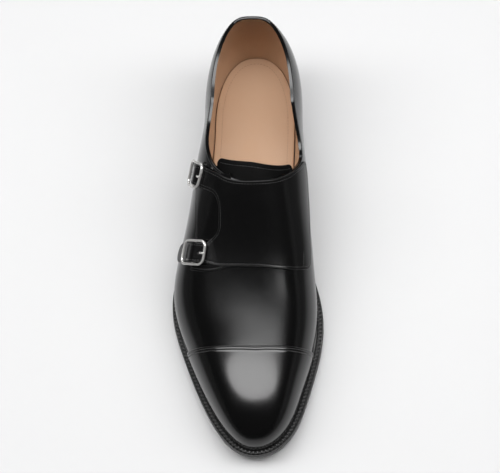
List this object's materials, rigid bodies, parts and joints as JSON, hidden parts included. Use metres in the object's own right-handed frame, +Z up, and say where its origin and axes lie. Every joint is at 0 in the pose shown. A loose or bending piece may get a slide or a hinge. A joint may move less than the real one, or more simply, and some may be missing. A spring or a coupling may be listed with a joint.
{
  "type": "double monk strap shoe",
  "caption": "Men's black leather cap-toe shoe closed by buckled straps across the instep, on a welted leather sole with a stacked heel.",
  "frame": {"origin": "middle of the shoe's bounding box, on the floor it stands on", "axes": "+Z up, -Y towards the toe, +X towards the big toe (medial) side of this right shoe"},
  "size_m": [0.108, 0.3006, 0.0981],
  "materials": {
    "calf_leather": "polished black box calf with a fine grain",
    "tan_leather": "smooth matt tan lining and sock leather",
    "edge_leather": "black satin sole edge",
    "heel_rubber": "matt black",
    "buckle_metal": "polished silver-coloured plate"
  },
  "bodies": {
    "root": {"outsole": "edge_leather", "welt": "edge_leather", "heel_stack": "edge_leather", "top_lift": "heel_rubber", "insole": "tan_leather", "upper": "calf_leather", "toe_cap": "calf_leather", "tongue": "calf_leather", "monk_flap": "calf_leather", "front_buckle_frame": "buckle_metal", "front_buckle_prong": "buckle_metal", "front_buckle_tab": "calf_leather", "rear_buckle_frame": "buckle_metal", "rear_buckle_prong": "buckle_metal", "rear_buckle_tab": "calf_leather"}
  },
  "joints": []
}
